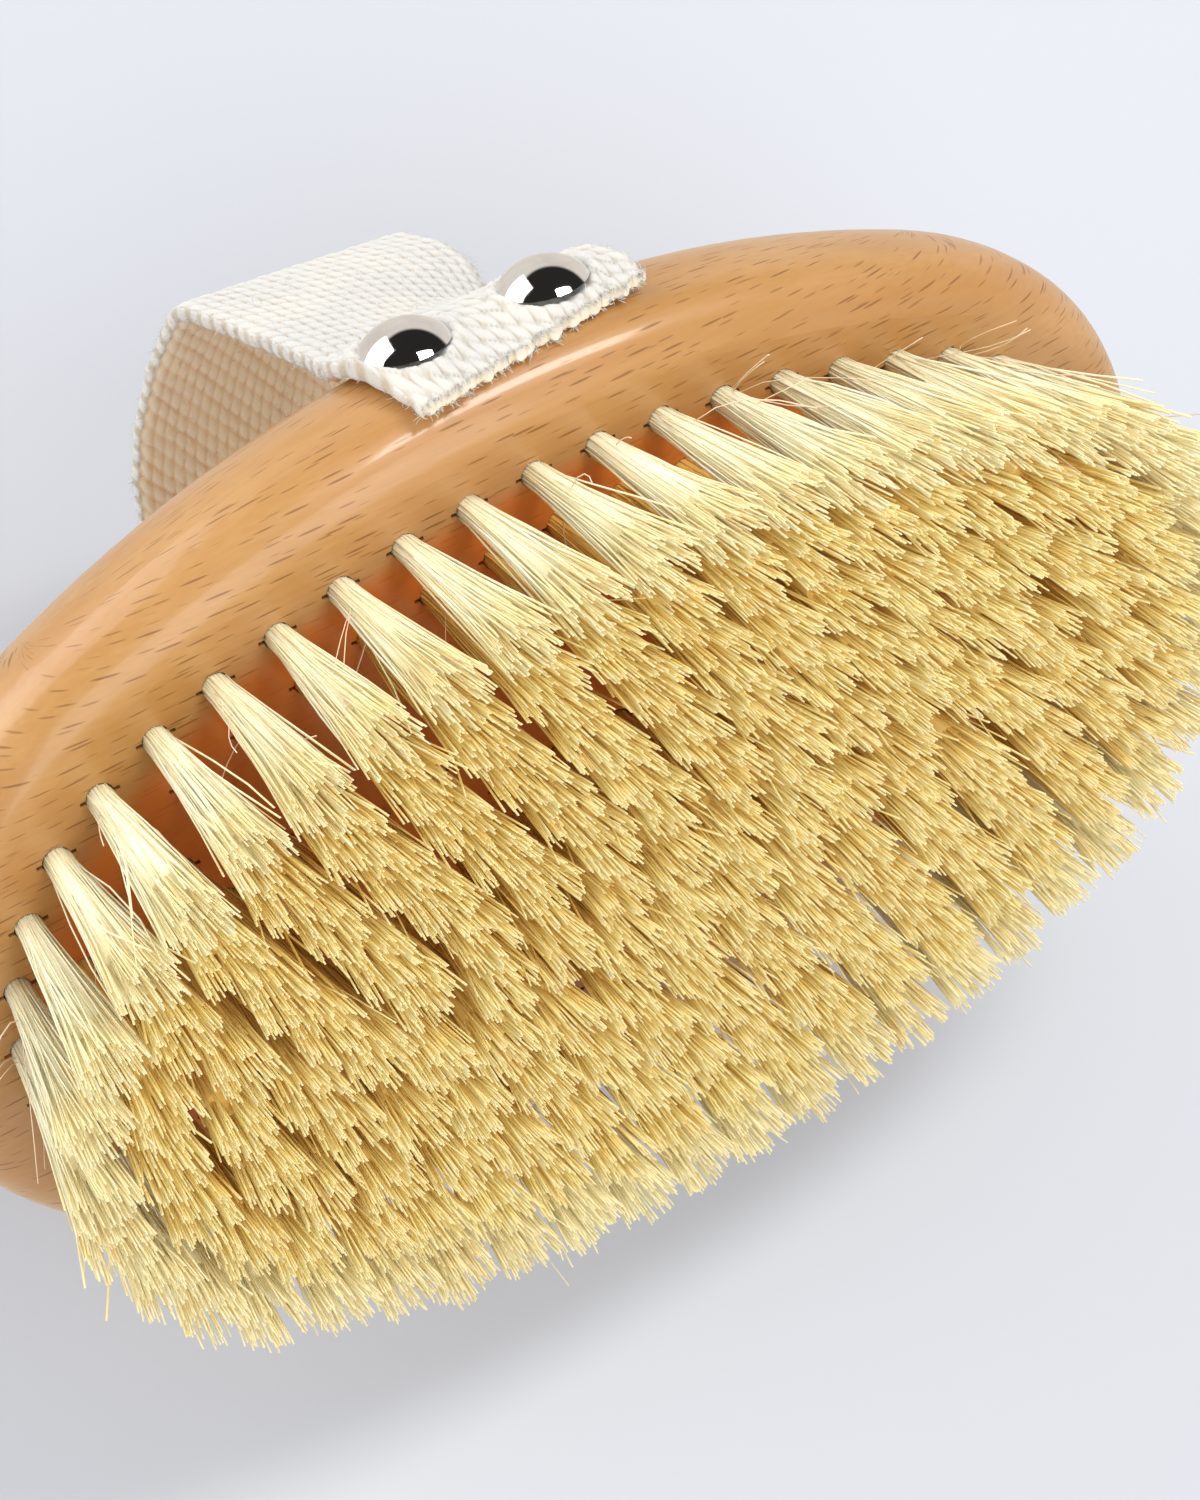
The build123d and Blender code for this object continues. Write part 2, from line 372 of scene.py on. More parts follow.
def plant_fibre():
    """Pale yellow fibre: cream to golden from fibre to fibre, with darker streaks along each one, and
    painted warm shade on the inner rings.

    Its thread holds the way along the fibre, the fibre's tone, and its kind: -1 in the inner rings,
    0 in the outer ring and 1 on a loose fibre.
    """
    g = Graph("plant_fibre")
    along, tone, kind = g.thread()
    # painted shade: the inner rings, in the shade of the outer ring, are painted golden all along; every
    # fibre also turns more golden towards its tip
    inner = g.between(kind, 0.0, -1.0)
    tip_gold_and_painted_shade = g.maths("MAXIMUM", inner, g.between(along, 0.5, 1.0, 0.0, 0.6))
    dull = g.mix(tip_gold_and_painted_shade, colour(251, 237, 188), colour(236, 202, 114))
    bright = g.mix(tip_gold_and_painted_shade, colour(254, 250, 219), colour(247, 227, 150))
    fibre = g.mix(g.between(tone, 0.0, 0.7), dull, bright)
    streak = g.noise((0.35 * MM, 0.35 * MM, 3 * MM), 2.0)
    fibre = g.mix(g.between(streak, 0.42, 0.75, 0.0, 0.22), fibre, colour(234, 194, 108))
    # painted shade: the inner rings are painted golden below their cut ends, for warm light bounced down
    # between the tufts
    painted_deep_shade = g.maths("MULTIPLY", inner, g.between(along, 0.97, 0.6, 0.0, 0.7))
    fibre = g.mix(painted_deep_shade, fibre, colour(250, 200, 98))
    fibre = g.mix(g.between(along, 0.93, 1.0, 0.0, 0.45), fibre, colour(245, 233, 184))
    fibre = g.mix(g.between(kind, 0.0, 1.0, 0.0, 0.85), fibre, colour(246, 218, 186))
    return g.finish(
        Base_Color=fibre,
        Roughness=g.between(streak, 0.3, 0.7, 0.42, 0.6),
        Specular_IOR_Level=0.35,
        Normal=g.bump(streak, 0.02 * MM, 0.4),
    )


def cotton():
    """Undyed cotton webbing: off-white yarn, with painted shade between the ribs and painted warm bounced
    light on the inner face.

    Its thread holds the height of the weave, the way along the strap, and 1 on the inner face.
    """
    g = Graph("cotton_webbing")
    height, _, inner = g.thread()
    yarn = g.noise((0.16 * MM, 0.16 * MM, 0.16 * MM), 3.0, 0.6)
    patch = g.noise((9 * MM, 9 * MM, 9 * MM), 2.0)
    # painted shade: the gaps between the ribs are painted darker than the crests
    cloth = g.mix(g.between(height, 0.05, 0.7), colour(174, 162, 141), colour(203, 200, 193))
    # painted light: the inner face is painted lighter and warmer, for light bounced onto it from the wood
    inner_painted_bounce = g.mix(g.between(height, 0.05, 0.7), colour(236, 214, 172), colour(255, 243, 216))
    cloth = g.mix(inner, cloth, inner_painted_bounce)
    cloth = g.mix(g.between(yarn, 0.45, 0.8, 0.0, 0.3), cloth, colour(226, 216, 196))
    cloth = g.mix(g.between(patch, 0.4, 0.7, 0.0, 0.2), cloth, colour(232, 222, 200))
    return g.finish(
        Base_Color=cloth,
        Roughness=0.92,
        Specular_IOR_Level=0.2,
        Sheen_Weight=0.35,
        Sheen_Roughness=0.5,
        Subsurface_Weight=0.3,
        Subsurface_Radius=(1.0, 0.72, 0.5),
        Subsurface_Scale=2.0 * MM,
        Normal=g.bump(yarn, 0.06 * MM, 0.8),
    )


def chrome():
    """Bright chrome with faint wear."""
    g = Graph("chrome_dome")
    haze = g.noise((2.2 * MM, 2.2 * MM, 2.2 * MM), 3.0)
    scratch = g.noise((0.05 * MM, 1.6 * MM, 0.05 * MM), 2.0)
    return g.finish(
        Base_Color=g.mix(g.between(haze, 0.4, 0.7), (0.80, 0.80, 0.81, 1), (0.72, 0.72, 0.73, 1)),
        Metallic=1.0,
        Roughness=g.between(haze, 0.3, 0.8, 0.03, 0.09),
        Normal=g.bump(scratch, 0.004 * MM, 0.25),
    )


def plain_wire(name, shown, rough):
    """Drawn steel: fine lines along the wire and a little dullness."""
    g = Graph(name)
    lines = g.noise((1.5 * MM, 0.08 * MM, 0.08 * MM), 2.0)
    dull = g.noise((1.1 * MM, 1.1 * MM, 1.1 * MM), 2.0)
    duller = [0.82 * c for c in shown]
    return g.finish(
        Base_Color=g.mix(g.between(dull, 0.35, 0.7), colour(*shown), colour(*duller)),
        Metallic=1.0,
        Roughness=g.between(lines, 0.3, 0.7, rough, rough + 0.18),
        Normal=g.bump(lines, 0.01 * MM, 0.4),
    )


def dress(node, material):
    """Gives a CAD node's material slots a new material."""
    for material_slot in nodes[node].material_slots:
        material_slot.link = "OBJECT"
        material_slot.material = material


# ---------------------------------------------------------------- bristles


def islands(shape):
    """The points of each separate part of a mesh."""
    seen, found = set(), []
    for vertex in shape.verts:
        if vertex in seen:
            continue
        seen.add(vertex)
        island, waiting = [], [vertex]
        while waiting:
            here = waiting.pop()
            island.append(here.co)
            for edge in here.link_edges:
                other = edge.other_vert(here)
                if other not in seen:
                    seen.add(other)
                    waiting.append(other)
        found.append(np.array(island))
    return found


def tuft_axes(node):
    """Root centre at the underside and tip centre of each tuft of a CAD ring, in order round the ring."""
    shape = bmesh.new()
    shape.from_mesh(nodes[node].data)
    bmesh.ops.remove_doubles(shape, verts=shape.verts, dist=0.001 * MM)
    axes = []
    for spots in islands(shape):
        tip = spots[spots[:, 2] < 0.01 * MM].mean(0)
        end = spots[spots[:, 2] > spots[:, 2].max() - 0.3 * MM].mean(0)
        root = tip + (end - tip) * (underside - tip[2]) / (end[2] - tip[2])
        axes.append((root, tip))
    shape.free()
    return sorted(axes, key=lambda axis: atan2(axis[0][1], axis[0][0]))


def unit(vectors):
    return vectors / np.linalg.norm(vectors, axis=-1, keepdims=True)


def across(direction):
    """Two unit vectors square to a direction."""
    first = unit(np.cross(direction, (0.0, 1.0, 0.0)))
    return first, np.cross(direction, first)


def spiral(count, start, rng):
    """Shares of the radius and angles of points spread evenly over a disc, turned at random."""
    order = np.sqrt((np.arange(count) + start) / count)
    return order, np.arange(count) * GOLDEN_ANGLE + rng.uniform(0, 2 * pi)


def on_disc(radius, angle):
    return radius[:, None] * np.stack([np.cos(angle), np.sin(angle)], 1)


def tuft_fibres(root, tip, rng, kind):
    """Paths, radii and thread values of the fibres of one tuft."""
    span = np.linalg.norm(tip - root)
    axis = (tip - root) / span
    side_a, side_b = across(axis)
    lean = rng.normal(0, TUFT_LEAN, 2)

    # where each fibre stands in the root disc and in the flared tip disc
    order, angle = spiral(FIBRES, 0.5, rng)
    root_at = on_disc(ROOT_RADIUS * order, angle)
    angle = angle + rng.normal(0, 0.22, FIBRES)
    reach = TIP_RADIUS * order ** 0.78 * (1 + rng.normal(0, 0.10, FIBRES))
    stray = rng.random(FIBRES) < STRAY_SHARE
    reach[stray] *= rng.uniform(1.15, 1.7, stray.sum())
    tip_at = on_disc(reach, angle)

    # the tips gather into clumps, each cut at its own height
    clump_order, clump_angle = spiral(CLUMPS, 0.6, rng)
    clumps = on_disc(TIP_RADIUS * CLUMP_SPREAD * clump_order, clump_angle)
    nearest = np.linalg.norm(tip_at[:, None] - clumps[None], axis=2).argmin(1)
    pull = rng.uniform(0.1, 0.4, CLUMPS)[nearest] * ~stray
    tip_at += (clumps[nearest] - tip_at) * pull[:, None]
    cut = rng.normal(0, CLUMP_CUT, CLUMPS)[nearest] + rng.normal(0, FIBRE_CUT, FIBRES)
    cut -= rng.random(FIBRES) ** 8 * LONGEST_CUT  # a few fibres are much shorter
    end = 1 + np.clip(cut, -LONGEST_CUT, 0.3 * MM) / span

    start = -FIBRE_IN_HOLE / span
    at = start + (end[:, None] - start) * FIBRE_SHARES
    flare = np.clip(at, 0, None) ** FLARE
    bow = rng.normal(0, FIBRE_BOW, (FIBRES, 2))
    bow[stray] *= 3
    offset = root_at[:, None] * (1 - flare[..., None]) + (tip_at + lean)[:, None] * flare[..., None]
    offset += bow[:, None] * np.sin(np.clip(at, 0, 1) * pi)[..., None]
    paths = root + axis * (at * span)[..., None]
    paths = paths + side_a * offset[..., :1] + side_b * offset[..., 1:]
    thick = FIBRE_RADIUS * np.clip(rng.normal(1, 0.18, FIBRES), 0.6, 1.5)
    tone = np.clip(rng.normal(0.5, 0.22, FIBRES) + rng.normal(0, 0.08), 0, 1)
    thread = np.stack(np.broadcast_arrays(np.clip(at, 0, 1), tone[:, None], kind), axis=-1)
    return paths, thick[:, None] * FIBRE_TAPER, thread


def tuft_cores(axes, kind):
    """The closely packed middle of each tuft, inside its outermost fibres."""
    ends = np.array(axes)
    span = np.linalg.norm(ends[:, 1] - ends[:, 0], axis=1)
    start = -FIBRE_IN_HOLE / span[:, None]
    steps = np.linspace(0, 1, CORE_SAMPLES)
    place = start + (CORE_LENGTH * steps - start) * steps  # closer together near the root
    paths = ends[:, :1] + (ends[:, 1:] - ends[:, :1]) * place[..., None]
    flare = np.clip(place, 0, None) ** FLARE
    share = np.interp(place, (0.0, CORE_LENGTH), CORE_SHARE)
    radii = share * (ROOT_RADIUS * (1 - flare) + TIP_RADIUS * flare)
    thread = np.stack(np.broadcast_arrays(np.clip(place, 0, 1), 0.45, kind), axis=-1)
    return tubes("tuft_cores", paths, radii, CORE_SIDES, thread)


def loose_fibres(axes, rng, count):
    """Long fine fibres that have worked loose, curving out of a tuft across its neighbours."""
    paths, radii, threads = [], [], []
    for _ in range(count):
        root, tip = axes[rng.integers(len(axes))]
        out = unit(root[:2])
        turn = rng.choice((-1, 1)) * rng.uniform(0.3, 1.2)
        way = np.array([
            out[0] * cos(turn) - out[1] * sin(turn),
            out[0] * sin(turn) + out[1] * cos(turn),
        ])
        length = rng.uniform(8, 15) * MM
        drop = rng.uniform(0.55, 1.0) * length
        s = np.linspace(0, 1, LOOSE_SAMPLES)
        curl = rng.normal(0, 0.10) * length * np.sin(s * pi)
        sideways = np.array([-way[1], way[0]])
        low = rng.uniform(0, 0.3)
        start = root[:2] + (tip - root)[:2] * low
        reach = ROOT_RADIUS + (TIP_RADIUS - ROOT_RADIUS) * low ** FLARE
        flat = start + out * reach * 0.9 + way * (s * length * 0.6)[:, None]
        flat = flat + sideways * curl[:, None]
        high = root[2] + (tip[2] - root[2]) * low - 0.5 * MM - drop * s ** rng.uniform(1.0, 1.3)
        paths.append(np.column_stack([flat, high]))
        radii.append(np.full_like(s, rng.uniform(0.045, 0.075) * MM))
        threads.append(np.column_stack([s, np.full_like(s, rng.random()), np.ones_like(s)]))
    return np.array(paths), np.array(radii), np.array(threads)


def bristle_ring(number, material):
    node = f"bristle_tufts_ring_{number}"
    rng = np.random.default_rng(100 + number)
    axes = tuft_axes(node)
    kind = 0.0 if number == 1 else -1.0
    bundles = [tuft_fibres(root, tip, rng, kind) for root, tip in axes]
    if number in LOOSE_FIBRES:
        bundles.append(loose_fibres(axes, rng, LOOSE_FIBRES[number]))
    paths, radii, thread = (np.concatenate(part) for part in zip(*bundles))
    piece = tubes(f"fibres_ring_{number}", paths, radii, FIBRE_SIDES, thread)
    join(piece, tuft_cores(axes, kind))
    piece.data.materials.append(material)
    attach(piece, "root")
    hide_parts(node)


# ---------------------------------------------------------------- strap


def back_edge_centre():
    """The centre (y, z) of the block's rounded back edge at -Y."""
    edge_y = -(half_width - BACK_EDGE_RADIUS)
    crown_z = wood_high.z - CROWN_RADIUS
    return edge_y, crown_z + sqrt((CROWN_RADIUS - BACK_EDGE_RADIUS) ** 2 - edge_y ** 2)


def walk(line, length, turn, step):
    """Goes on along an arc, or straight where turn is 0, adding (y, z, heading) to a line."""
    y, z, heading = line[-1]
    count = max(1, round(length / step))
    for _ in range(count):
        heading += turn / count / 2
        y += cos(heading) * length / count
        z += sin(heading) * length / count
        heading += turn / count / 2
        line.append((y, z, heading))


def strap_line(spacing):
    """Distances, and (y, z, heading) there, along the strap's inner face from its -Y end to its +Y end."""
    edge_y, edge_z = back_edge_centre()
    wrap_radius = BACK_EDGE_RADIUS + STRAP_GAP
    start_z = underside + STRAP_END_HEIGHT - STRAP_WIDTH / 2 * tan(STRAP_END_SKEW)
    turn_out = LEG_ANGLE - pi / 2 + WRAP_ANGLE
    step = 0.02 * MM
    line = [(edge_y - wrap_radius, start_z, pi / 2)]
    # up the side of the block, over its edge, off it, up the leg and round the fold
    for length, turn in (
        (edge_z - start_z, 0.0),
        (wrap_radius * WRAP_ANGLE, -WRAP_ANGLE),
        (LEAVE_RADIUS * turn_out, turn_out),
        (LEG_LENGTH, 0.0),
        (FOLD_RADIUS * (LEG_ANGLE - TOP_SLOPE), TOP_SLOPE - LEG_ANGLE),
    ):
        walk(line, length, turn, step)
    crown_radius = -line[-1][0] / sin(TOP_SLOPE)
    walk(line, crown_radius * TOP_SLOPE, -TOP_SLOPE, step)
    half = np.array(line)
    whole = np.concatenate([half, half[-2::-1] * (-1, 1, -1)])
    lengths = np.linalg.norm(np.diff(whole[:, :2], axis=0), axis=1)
    distance = np.concatenate([[0], np.cumsum(lengths)])
    at = np.linspace(0, distance[-1], round(distance[-1] / spacing) + 1)
    return at, np.column_stack([np.interp(at, distance, whole[:, k]) for k in range(3)])


def wander(at, size, rng):
    """A smooth random value, about -1 to 1, along a distance, that changes over a given size."""
    waves = 5
    total = np.zeros_like(at)
    for _ in range(waves):
        total += np.sin(at * 2 * pi / size / rng.uniform(0.6, 1.8) + rng.uniform(0, 2 * pi))
    return total / waves * 1.4


def bump_at(distance, middle, reach):
    """1 at a distance, fading to 0 on both sides of it."""
    return np.exp(-((distance - middle) / reach) ** 2)


def weave(u, v, side):
    """Height, from 0 in the gaps to 1 on the crests, of slanted stitches in ribs along the strap."""
    ribs = round(STRAP_WIDTH / RIB_PITCH)
    place = np.clip((u / STRAP_WIDTH + 0.5) * ribs, 0.001, ribs - 0.001)
    rib = np.floor(place)
    a = place - rib - 0.5
    b = v / STITCH_PITCH + 0.37 * rib + 0.8 * a * side
    crest = np.abs(np.cos(pi * b)) ** 0.8
    arch = 0.45 + 0.55 * np.cos(pi * a) ** 0.6
    return arch * (0.2 + 0.8 * crest)


def strap_section():
    """The loop round the strap's cross-section: outer face, edge, inner face, edge.

    For each point: its place across the width, from -0.5 to 0.5, how far it bulges past the edge, its
    level, from 1 outside to -1 inside, and its face: 1 outer, 0 edge, -1 inner.
    """
    face_u = np.linspace(-0.5, 0.5, STRAP_COLUMNS)
    turn = np.linspace(0, pi, EDGE_STEPS + 1)[1:-1]
    flat, edge = 0 * face_u, 0 * turn
    loop_u = np.concatenate([face_u, 0.5 + edge, face_u[::-1], -0.5 + edge])
    bulge = np.concatenate([flat, np.sin(turn), flat, -np.sin(turn)])
    level = np.concatenate([flat + 1, np.cos(turn), flat - 1, -np.cos(turn)])
    face = np.concatenate([flat + 1, edge, flat - 1, edge])
    return loop_u, bulge, level, face


def strap_height(loop_u, face, v):
    """Height of the weave over the whole grid, on the faces and on the edges."""
    width_u = loop_u[None] * STRAP_WIDTH
    v_grid = np.broadcast_to(v[:, None], (len(v), len(loop_u)))
    inner_shift = 0.4 * MM
    height = np.where(face[None] >= 0, weave(width_u, v_grid, 1), weave(width_u, v_grid + inner_shift, -1))
    return np.where(face[None] == 0, 0.5 + 0.5 * np.cos(pi * 2 * v_grid / STITCH_PITCH), height)


def out_of_wood(y, z):
    """Points near the back edges, moved out to the face of the wood where they would be inside it."""
    edge_y, edge_z = back_edge_centre()
    off_y, off_z = np.abs(y) + edge_y, z - edge_z
    reach = np.hypot(off_y, off_z)
    sunk = np.maximum(BACK_EDGE_RADIUS + STRAP_GAP - reach, 0) * (off_z > 0)
    return y + np.sign(y) * sunk * off_y / reach, z + sunk * off_z / reach


def strap_caps(index):
    """The faces that close the two cut ends of a grid of vertex numbers with one row per section."""
    edge = EDGE_STEPS - 1
    caps = []
    for row, order in ((index[0], 1), (index[-1], -1)):
        top, right, bottom, left = np.split(row, np.cumsum([STRAP_COLUMNS, edge, STRAP_COLUMNS]))
        bottom = bottom[::-1]
        strip = np.stack([top[:-1], bottom[:-1], bottom[1:], top[1:]], axis=-1)
        caps.append(strip[:, ::order])
        for fan in ([top[-1], *right, bottom[-1]], [bottom[0], *left, top[0]]):
            wedge = [(fan[k], fan[-1], fan[k + 1]) for k in range(len(fan) - 2)]
            caps.append(np.array(wedge)[:, ::order])
    return caps


def strap_points(v, line, height):
    """The grid of the webbing's points, with a row at each distance and a column round its section."""
    rng = np.random.default_rng(7)
    loop_u, bulge, level, _ = strap_section()
    length = v[-1]
    normal = np.column_stack([-np.sin(line[:, 2]), np.cos(line[:, 2])])  # out of the loop
    rise = np.clip(1 - np.abs(v - length / 2) / (length / 2 - ON_WOOD), 0, 1)
    sway = -STRAP_SWAY * 0.5 * (1 - np.cos(pi * rise ** 1.5))
    askew = FOLD_ASKEW * np.clip(rise / ASKEW_BY, 0, 1) ** 2
    left = wander(v, 5 * MM, rng) * EDGE_WAVER
    right = wander(v, 5 * MM, rng) * EDGE_WAVER

    # (1) the inner face, drawn in above each +X tack but never into the wood
    tail = np.minimum(v, length - v)[:, None]
    toward_right = (loop_u[None] + 0.5) ** 2
    toward_left = (loop_u[None] - 0.5) ** 2
    much = np.where(line[:, :1] < 0, 1.0, REAR_PULL)
    bulged = much * bump_at(tail, BULGE_AT, BULGE_REACH) * toward_left
    drawn = much * bump_at(tail, PINCH_AT[0], PINCH_REACH[0]) * toward_right
    over = much * bump_at(tail, PINCH_AT[1], PINCH_REACH[1]) * toward_right
    base_y = line[:, :1] - np.sign(line[:, :1]) * over * PINCH_IN[1] + askew[:, None] * loop_u[None]
    base_z = np.broadcast_to(line[:, 1:2], base_y.shape)
    base_y, base_z = out_of_wood(base_y, base_z)

    # (2) out to the faces, thinner where the end is pressed, (3) the weave, softer at its edges
    soft = 1 - 0.5 * (np.abs(loop_u) > 0.485)[None]
    half_thick = STRAP_THICKNESS / 2 * (1 - END_THINNING * np.clip(1 - tail / END_PRESSED, 0, 1))
    x = STRAP_X + sway[:, None] + loop_u[None] * STRAP_WIDTH + bulge[None] * EDGE_ROUND
    x = x + drawn * PINCH_IN[0] - bulged * BULGE_OUT
    x = x + np.where(loop_u > 0, right[:, None], left[:, None]) * np.abs(2 * loop_u)[None]
    out = half_thick + level[None] * (half_thick - RIB_ROOM)
    out = out + np.sign(level)[None] * (height * soft - 0.1) * RIB_HEIGHT
    out = out + wander(v, 11 * MM, rng)[:, None] * FACE_WAVER
    points = np.stack([x, base_y + normal[:, :1] * out, base_z + normal[:, 1:] * out], axis=-1)

    # the cut ends run a little out of square, and ragged
    ragged = wander(loop_u * STRAP_WIDTH, 2.5 * MM, rng)[None] * END_RAGGED
    shift = (x - STRAP_X) * tan(STRAP_END_SKEW) + ragged
    points[..., 2] += shift * np.clip(1 - tail / END_SKEWED, 0, 1)

    # raised round each dome and pressed down under it
    outward = np.column_stack([0 * v, normal])[:, None]
    for node in DOME_NODES:
        low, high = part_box(node)
        centre = np.array((low + high) / 2)
        beyond = np.linalg.norm(points - centre, axis=-1) - (high.x - low.x) / 2
        puffed = DOME_PUFF * bump_at(beyond, DOME_PUFF_AT, DOME_PUFF_REACH)
        pressed = DOME_PRESS * np.clip(0.2 - beyond / MM, 0, 1)
        points = points + outward * ((puffed - pressed) * (level[None] > 0))[..., None]
    return points


def strap_mesh(material):
    """The webbing, with its grid of points, the face of each column and the strap's length."""
    v, line = strap_line(STRAP_ROW)
    length = v[-1]
    loop_u, _, _, face = strap_section()
    height = strap_height(loop_u, face, v)
    points = strap_points(v, line, height)
    index = np.arange(points.shape[0] * points.shape[1]).reshape(points.shape[:2])
    a, b = index[:-1], index[1:]
    quads = np.stack([a, np.roll(a, -1, 1), np.roll(b, -1, 1), b], axis=-1).reshape(-1, 4)
    inner = (face < 0).astype(float)
    thread = np.stack(np.broadcast_arrays(height, v[:, None] / length, inner[None]), axis=-1)
    attributes = {"thread": thread.reshape(-1, 3)}
    piece = mesh_piece("strap_webbing", points.reshape(-1, 3), quads, strap_caps(index), attributes)
    piece.data.materials.append(material)
    return piece, points, face, length


def strap_fuzz(points, face, material):
    """Cotton hairs over the webbing, denser along its edges, and frayed yarn at the cut ends."""
    rng = np.random.default_rng(21)
    rows, cols = points.shape[:2]
    centre = points.mean(1)
    edges = np.flatnonzero(face == 0)
    paths, radii = [], []

    def hair(at, way, length, radius, curl):
        s = np.linspace(0, 1, 4)[:, None]
        bend = unit(rng.normal(0, 1, 3)) * curl * length
        paths.append(at + way * s * length + bend * s ** 2 - way * 0.1 * MM * (s == 0))
        radii.append(np.full(4, radius) * (1, 1, 0.9, 0.6))

    for _ in range(EDGE_HAIRS):
        row, col = rng.integers(rows), edges[rng.integers(len(edges))]
        at = points[row, col]
        way = unit(at - centre[row])
        way = unit(way + rng.normal(0, 0.7, 3))
        hair(at, way, rng.uniform(*HAIR_LENGTH) * MM, rng.uniform(*EDGE_HAIR_RADIUS) * MM, 0.6)
    for _ in range(FACE_HAIRS):
        row, col = rng.integers(1, rows - 1), rng.integers(cols)
        at = points[row, col]
        way = np.cross(points[row, (col + 1) % cols] - at, points[row + 1, col] - at)
        way = unit(unit(way) + rng.normal(0, 0.8, 3))
        hair(at, way, rng.uniform(*HAIR_LENGTH) * MM, rng.uniform(*FACE_HAIR_RADIUS) * MM, 0.7)
    for row, inner in ((0, 2), (rows - 1, rows - 3)):
        for _ in range(END_HAIRS):
            col = rng.integers(cols)
            way = unit(points[row, col] - points[inner, col])
            at = points[row, col] + (centre[row] - points[row, col]) * rng.random() * 0.05
            way = unit(way + rng.normal(0, 0.35, 3))
            hair(at, way, rng.uniform(*END_HAIR_LENGTH) * MM, rng.uniform(*END_HAIR_RADIUS) * MM, 0.5)
    paths, radii = np.array(paths), np.array(radii)
    thread = np.zeros(paths.shape)
    thread[..., 0] = 0.9  # as pale as the crests of the weave
    piece = tubes("strap_fuzz", paths, radii, HAIR_SIDES, thread)
    piece.data.materials.append(material)
    return piece


def strap(material):
    webbing, points, face, length = strap_mesh(material)
    fuzz = strap_fuzz(points, face, material)
    for piece in (webbing, fuzz):
        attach(piece, "root")
    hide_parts("hand_strap")


# ---------------------------------------------------------------- stage, light and camera

CAMERA_AIM = Vector((0.9, -0.65, 21.2)) * MM
CAMERA_DISTANCE = 268.2 * MM
CAMERA_AZIMUTH = radians(-28.11)
CAMERA_ELEVATION = radians(-41.14)
CAMERA_ROLL = radians(-47.2)
CAMERA_LENS = 68.2
TABLE_NORMAL = Vector((0.0, -0.857, -0.515)).normalized()
STAGE_REACH = 3.0  # from the middle of the floor and of the table top to their edges
SQUARE = ((-1, -1), (1, -1), (1, 1), (-1, 1))


def camera():
    """The camera at the photograph's angle, and its right, up and back directions."""
    back = Vector((
        sin(CAMERA_AZIMUTH) * cos(CAMERA_ELEVATION),
        -cos(CAMERA_AZIMUTH) * cos(CAMERA_ELEVATION),
        sin(CAMERA_ELEVATION),
    ))
    level = Vector((cos(CAMERA_AZIMUTH), sin(CAMERA_AZIMUTH), 0))
    right = Matrix.Rotation(CAMERA_ROLL, 3, back) @ level
    up = back.cross(right)
    data = bpy.data.cameras.new("camera")
    data.lens = CAMERA_LENS
    data.clip_start = 0.01
    made = bpy.data.objects.new("camera", data)
    bpy.context.scene.collection.objects.link(made)
    turn = Matrix((right, up, back)).transposed().to_4x4()
    made.matrix_world = Matrix.Translation(CAMERA_AIM + back * CAMERA_DISTANCE) @ turn
    bpy.context.scene.camera = made
    return right, up, back


def stage():
    """A pale floor and a leaning table top behind the brush, each seen from its front only."""
    g = Graph("stage")
    front = g.node("BsdfDiffuse", {"Color": colour(194, 196, 200)})
    clear = g.node("BsdfTransparent")
    from_behind = g.node("NewGeometry", out="Backfacing")
    both = g.node("MixShader", {0: from_behind, 1: front, 2: clear})
    g.put(g.tree.nodes["Material Output"].inputs[0], both)

    away = -TABLE_NORMAL
    reach = max(v.co.dot(away) for n in nodes for v in nodes[n].data.vertices)
    slope = Vector((0.0, -away.z, away.y))  # up the leaning table top
    table = [away * reach + (Vector((a, 0, 0)) + slope * b) * STAGE_REACH for a, b in SQUARE]
    ground = [Vector((a, b, 0)) * STAGE_REACH for a, b in SQUARE]
    faces = np.array([(0, 1, 2, 3), (4, 5, 6, 7)])
    floor = mesh_piece("stage_floor_and_table", np.array(table + ground), faces)
    floor.data.materials.append(g.material)
    for ray in ("diffuse", "glossy", "transmission", "shadow", "volume_scatter"):
        setattr(floor, f"visible_{ray}", False)


def softbox(name, way, distance, size, power, tint):
    """A rectangular area light that faces the brush from a direction."""
    data = bpy.data.lights.new(name, "AREA")
    data.shape = "RECTANGLE"
    data.size, data.size_y = size
    data.energy = power
    data.color = tint
    lamp = bpy.data.objects.new(name, data)
    bpy.context.scene.collection.objects.link(lamp)
    way = way.normalized()
    turn = way.to_track_quat("Z", "Y").to_matrix().to_4x4()
    lamp.matrix_world = Matrix.Translation(CAMERA_AIM + way * distance) @ turn


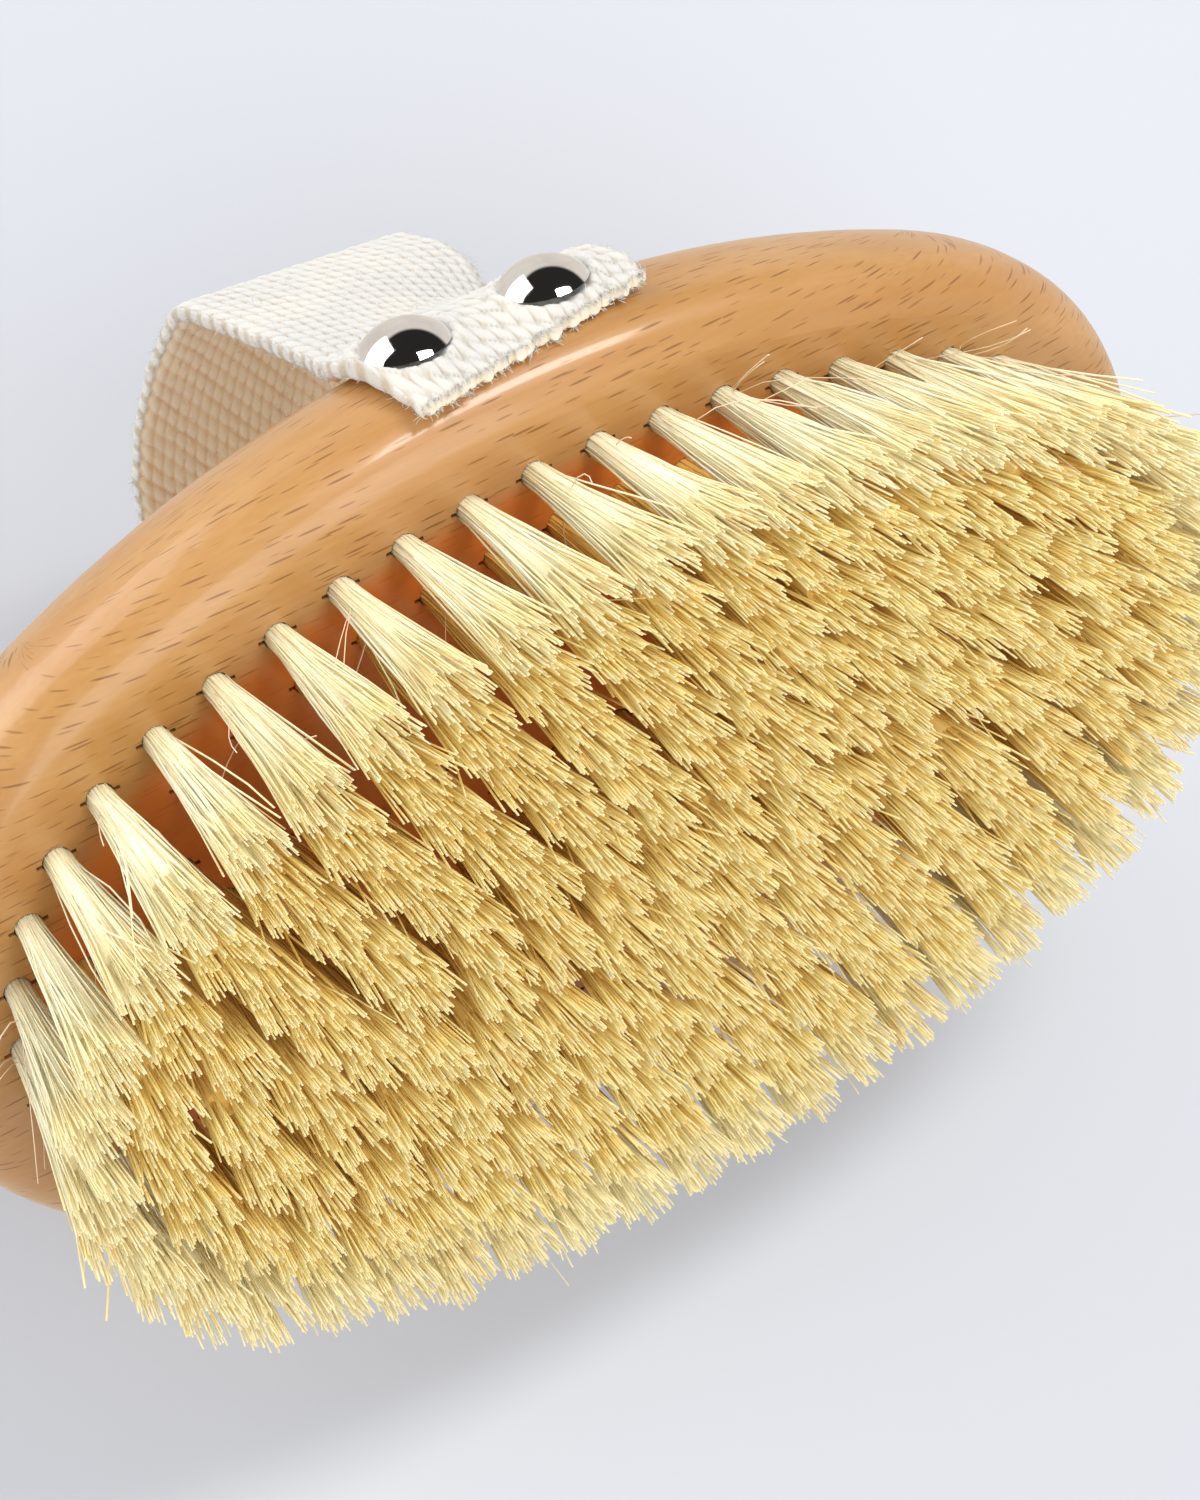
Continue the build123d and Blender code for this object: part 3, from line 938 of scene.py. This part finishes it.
def world():
    """Pale studio: even light, but reflections are dark in front of the table top, bright elsewhere."""
    scene_world = bpy.data.worlds.new("studio")
    bpy.context.scene.world = scene_world
    scene_world.use_nodes = True
    tree = scene_world.node_tree
    tree.nodes.clear()

    def add(kind, **inputs):
        made = tree.nodes.new("ShaderNode" + kind)
        for key, value in inputs.items():
            made.inputs[key.replace("_", " ")].default_value = value
        return made

    def link(output, socket):
        tree.links.new(output, socket)

    place = add("TexCoord")
    dot = add("VectorMath")
    dot.operation = "DOT_PRODUCT"
    dot.inputs[1].default_value = TABLE_NORMAL
    link(place.outputs["Generated"], dot.inputs[0])
    fade = add("MapRange", From_Min=0.26, From_Max=0.4, To_Min=1.0, To_Max=0.03)
    fade.interpolation_type = "SMOOTHSTEP"
    link(dot.outputs["Value"], fade.inputs["Value"])
    mirror = add("Background", Color=colour(236, 226, 214))
    link(fade.outputs[0], mirror.inputs["Strength"])
    even = add("Background", Color=colour(238, 242, 252), Strength=0.75)
    seen = add("Background", Color=colour(236, 240, 248))
    rays = add("LightPath")
    shader = even
    for ray, other in (("Is Glossy Ray", mirror), ("Is Camera Ray", seen)):
        mixed = add("MixShader")
        link(rays.outputs[ray], mixed.inputs[0])
        link(shader.outputs[0], mixed.inputs[1])
        link(other.outputs[0], mixed.inputs[2])
        shader = mixed
    link(shader.outputs[0], add("OutputWorld").inputs[0])


# ---------------------------------------------------------------- the brush

dress("wooden_body", beech())
for name in DOME_NODES:
    dress(name, chrome())
anchor_steel = plain_wire("anchor_wire", (172, 168, 160), 0.35)
nail_steel = plain_wire("nail_steel", (184, 182, 178), 0.28)
for name in nodes:
    if name.startswith("tuft_anchors_"):
        dress(name, anchor_steel)
    if name.startswith("tack_nail_"):
        dress(name, nail_steel)

fibre = plant_fibre()
rings = sum(name.startswith("bristle_tufts_ring_") for name in nodes)
for number in range(1, rings + 1):
    bristle_ring(number, fibre)
strap(cotton())

right, up, back = camera()
stage()
world()
softbox("window", right * -0.82 + up * 0.5 + back * 0.27, 0.9, (0.8, 0.7), 4.8, (1.0, 0.985, 0.96))
softbox("front", right * 0.40 + up * 0.58 + back * 0.70, 1.1, (0.5, 0.25), 6.0, (1.0, 0.99, 0.97))
softbox("side", right * -0.85 - up * 0.2 + back * 0.5, 1.0, (0.9, 0.9), 2.2, (1.0, 0.99, 0.96))
softbox("below", right * 0.5 - up * 0.3 + back * 0.85, 1.2, (1.0, 1.0), 7.6, (1.0, 0.985, 0.96))
bpy.context.scene.view_settings.view_transform = "Standard"
